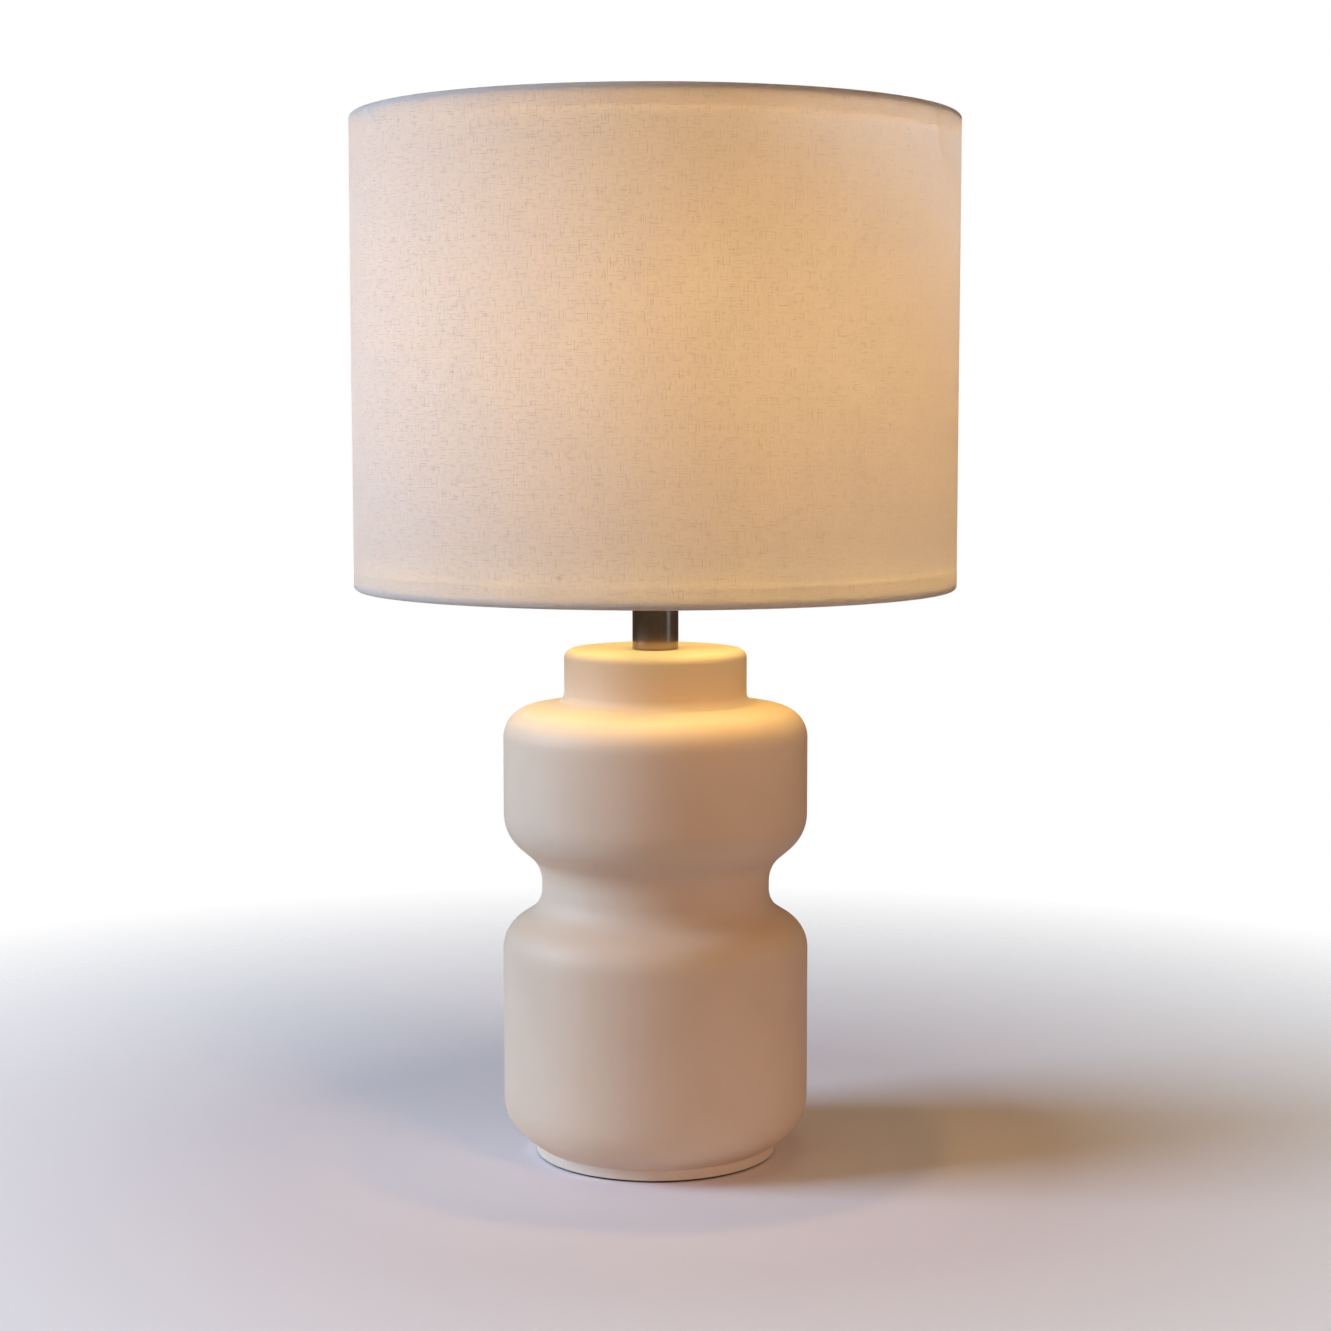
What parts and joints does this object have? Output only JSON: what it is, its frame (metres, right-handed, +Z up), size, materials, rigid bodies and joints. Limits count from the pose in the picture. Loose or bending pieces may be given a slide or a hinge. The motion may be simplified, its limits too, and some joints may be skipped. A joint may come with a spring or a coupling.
{
  "type": "table lamp",
  "caption": "Table lamp with a waisted hollow ceramic body, a metal neck, a socket with a turn switch, a wire harp and a linen drum shade.",
  "frame": {"origin": "centre of the underside, on the surface that the lamp stands on", "axes": "+Z up along the body's axis, +X to the lamp's right seen from the front, +Y to its back, where the cord leaves"},
  "size_m": [0.33, 0.33, 0.57],
  "materials": {
    "ceramic": "matt, off-white slip with a faint fine speckle",
    "felt": "dark brown felt",
    "zinc": "zinc-plated steel",
    "brass": "brass-plated, satin",
    "nickel": "nickel-plated, bright",
    "dark_nickel": "polished black nickel",
    "rubber": "matt",
    "card": "pressed fibre board",
    "phenolic": "moulded, satin",
    "black_plastic": "moulded, satin",
    "white_plastic": "moulded, satin",
    "frosted_globe": "frosted, lit from inside",
    "white_metal": "white powder coat",
    "linen": "plain-weave linen blend, off-white",
    "styrene": "translucent white sheet"
  },
  "bodies": {
    "base": {"ceramic_body": "ceramic", "felt_ring": "felt", "base_plate": "zinc", "base_washer": "zinc", "base_nut": "brass", "lamp_pipe": "zinc", "cord_grommet": "rubber", "neck_bush": "brass", "neck_tube": "dark_nickel", "neck_cap": "dark_nickel", "harp_saddle": "brass", "saddle_nut": "brass", "socket_cap": "brass", "socket_set_screw": "zinc", "socket_shell": "brass", "socket_liner": "card", "socket_interior": "phenolic", "terminal_screw_live": "brass", "terminal_screw_neutral": "zinc", "centre_contact": "brass", "screw_shell": "brass"},
    "harp": {"harp": "brass"},
    "sleeve_left": {"harp_sleeve_left": "brass"},
    "sleeve_right": {"harp_sleeve_right": "brass"},
    "swivel": {"harp_stud": "brass"},
    "shade": {"spider_washer": "white_metal", "shade_ring_top": "white_metal", "shade_ring_bottom": "white_metal", "spider_arm_back": "white_metal", "spider_arm_left": "white_metal", "spider_arm_right": "white_metal", "shade_fabric": "linen", "shade_liner": "styrene", "shade_hem_top": "linen", "shade_hem_bottom": "linen"},
    "finial": {"finial": "dark_nickel"},
    "switch": {"switch_spindle": "brass", "turn_knob": "black_plastic"},
    "bulb": {"bulb_tip": "zinc", "bulb_insulator": "black_plastic", "bulb_screw_cap": "nickel", "bulb_housing": "white_plastic", "led_board": "white_plastic", "bulb_globe": "frosted_globe"}
  },
  "joints": [
    {"name": "harp_lift", "type": "slide", "parent": "base", "child": "harp", "axis": [0, 0, 1], "range_m": [0, 0.02]},
    {"name": "sleeve_left_slide", "type": "slide", "parent": "harp", "child": "sleeve_left", "axis": [0, 0, 1], "range_m": [0, 0.012]},
    {"name": "sleeve_right_slide", "type": "slide", "parent": "harp", "child": "sleeve_right", "axis": [0, 0, 1], "range_m": [0, 0.012]},
    {"name": "harp_swivel", "type": "hinge", "parent": "harp", "child": "swivel", "pos_m": [0, 0, 0.5497], "axis": [0, 0, 1], "continuous": true},
    {"name": "shade_lift", "type": "slide", "parent": "swivel", "child": "shade", "axis": [0, 0, 1], "range_m": [0, 0.25]},
    {"name": "finial_turn", "type": "hinge", "parent": "shade", "child": "finial", "pos_m": [0, 0, 0.5518], "axis": [0, 0, 1], "continuous": true},
    {"name": "switch_turn", "type": "hinge", "parent": "base", "child": "switch", "pos_m": [0, -0.0166, 0.3707], "axis": [0, -1, 0], "continuous": true},
    {"name": "bulb_out", "type": "slide", "parent": "base", "child": "bulb", "axis": [0, 0, 1], "range_m": [0, 0.03]}
  ]
}
